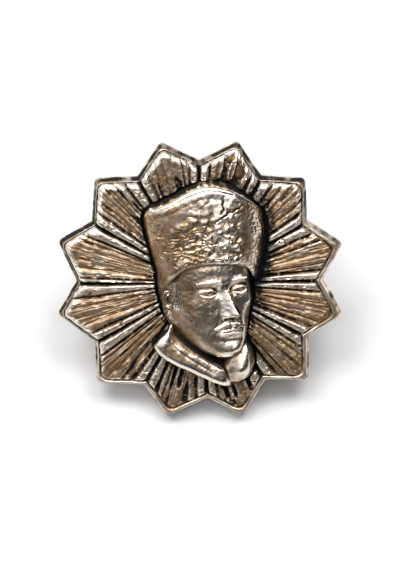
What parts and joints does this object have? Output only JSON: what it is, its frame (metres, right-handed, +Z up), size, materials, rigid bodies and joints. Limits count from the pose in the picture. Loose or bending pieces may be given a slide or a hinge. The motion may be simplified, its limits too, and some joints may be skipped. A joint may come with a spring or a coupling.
{
  "type": "lapel pin",
  "caption": "Cast metal lapel pin: a pointed star of ribbed rays around a head in relief with a tall fur hat and turned collar, on a post with a butterfly clutch.",
  "frame": {"origin": "on the surface the pin rests on, under the middle of its bounding box", "axes": "+Z up from that surface, +X to the right across the badge; the badge leans back, so its face looks up and towards -Y and its top is towards +Y"},
  "size_m": [0.024, 0.0198, 0.0151],
  "materials": {
    "antique_silver": "cast white metal, silvered and antiqued: worn bright edges, brown toning, black in the recesses",
    "nickel_steel": "nickel-plated, lightly worn"
  },
  "bodies": {
    "root": {"badge": "antique_silver", "clutch": "nickel_steel"}
  },
  "joints": []
}
